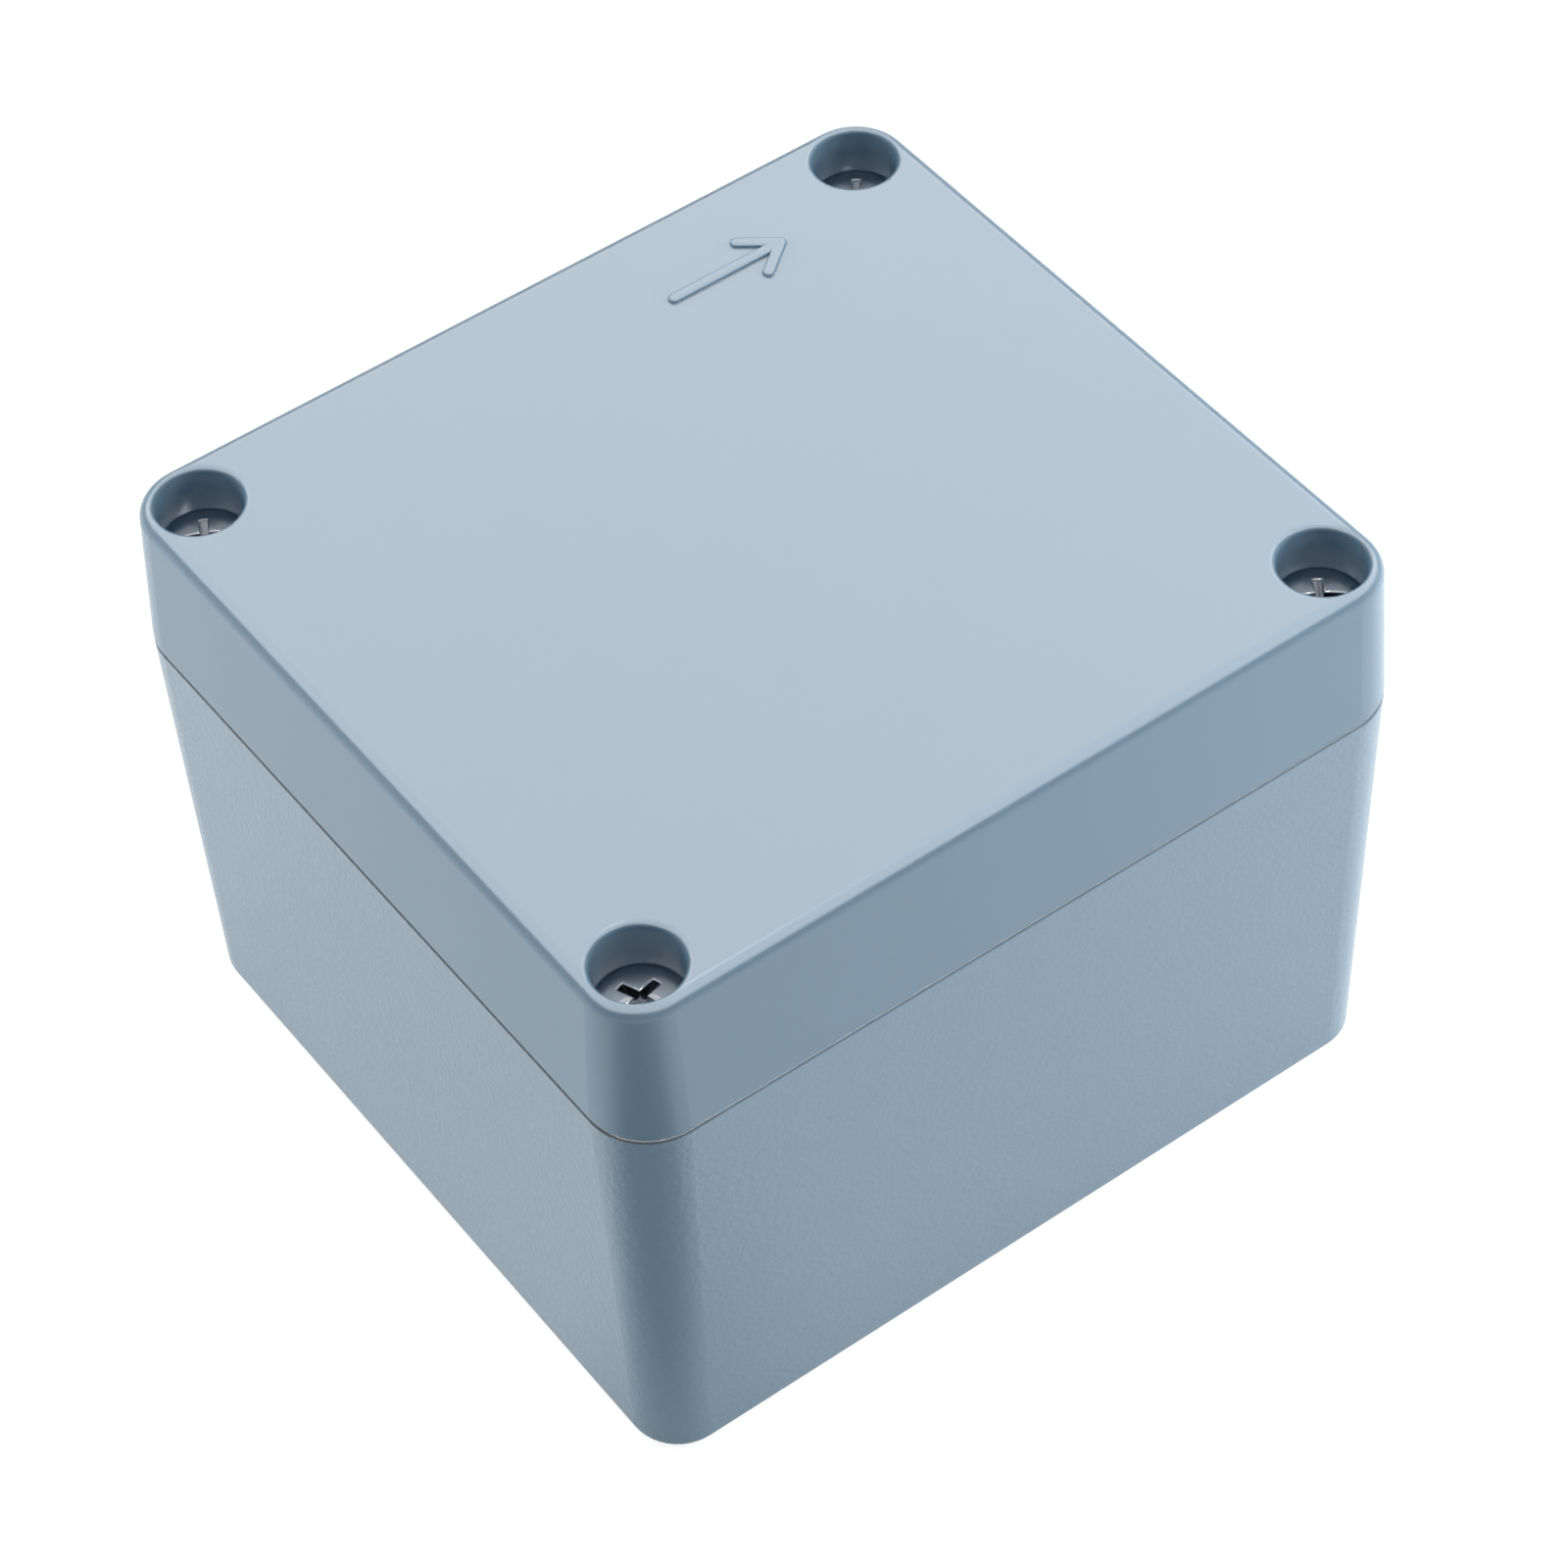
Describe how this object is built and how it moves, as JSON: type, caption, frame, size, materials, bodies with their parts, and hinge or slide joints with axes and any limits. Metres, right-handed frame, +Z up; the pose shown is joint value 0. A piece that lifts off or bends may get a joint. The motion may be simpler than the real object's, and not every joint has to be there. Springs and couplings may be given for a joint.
{
  "type": "die-cast aluminium enclosure",
  "caption": "Grey-blue die-cast project box: deep base, screwed lid with gasket and sunk corner screws, hidden wall-mounting holes and board bosses.",
  "frame": {"origin": "centre of the underside of the closed box, on the surface that it stands on", "axes": "+Z up through the lid, +X along the longer side (80 mm), +Y along the shorter side (75 mm), with the raised arrow near the +X +Y corner of the lid pointing to +X"},
  "size_m": [0.08, 0.075, 0.0593],
  "materials": {
    "base_coat": "satin grey-blue powder coat with a fine orange-peel grain on die-cast aluminium",
    "lid_coat": "smooth satin grey-blue powder coat on die-cast aluminium",
    "gasket": "matt black sealing rubber",
    "screws": "bright turned stainless steel"
  },
  "bodies": {
    "base": {"enclosure_base": "base_coat"},
    "lid": {"enclosure_lid": "lid_coat", "lid_gasket": "gasket"},
    "screw_front_left": {"lid_screw_front_left": "screws"},
    "screw_front_right": {"lid_screw_front_right": "screws"},
    "screw_back_left": {"lid_screw_back_left": "screws"},
    "screw_back_right": {"lid_screw_back_right": "screws"}
  },
  "joints": [
    {"name": "lid_lift", "type": "slide", "parent": "base", "child": "lid", "axis": [0, 0, 1], "range_m": [0, 0.06]},
    {"name": "screw_front_left_out", "type": "slide", "parent": "lid", "child": "screw_front_left", "axis": [0, 0, 1], "range_m": [0, 0.025]},
    {"name": "screw_front_right_out", "type": "slide", "parent": "lid", "child": "screw_front_right", "axis": [0, 0, 1], "range_m": [0, 0.025]},
    {"name": "screw_back_left_out", "type": "slide", "parent": "lid", "child": "screw_back_left", "axis": [0, 0, 1], "range_m": [0, 0.025]},
    {"name": "screw_back_right_out", "type": "slide", "parent": "lid", "child": "screw_back_right", "axis": [0, 0, 1], "range_m": [0, 0.025]}
  ]
}
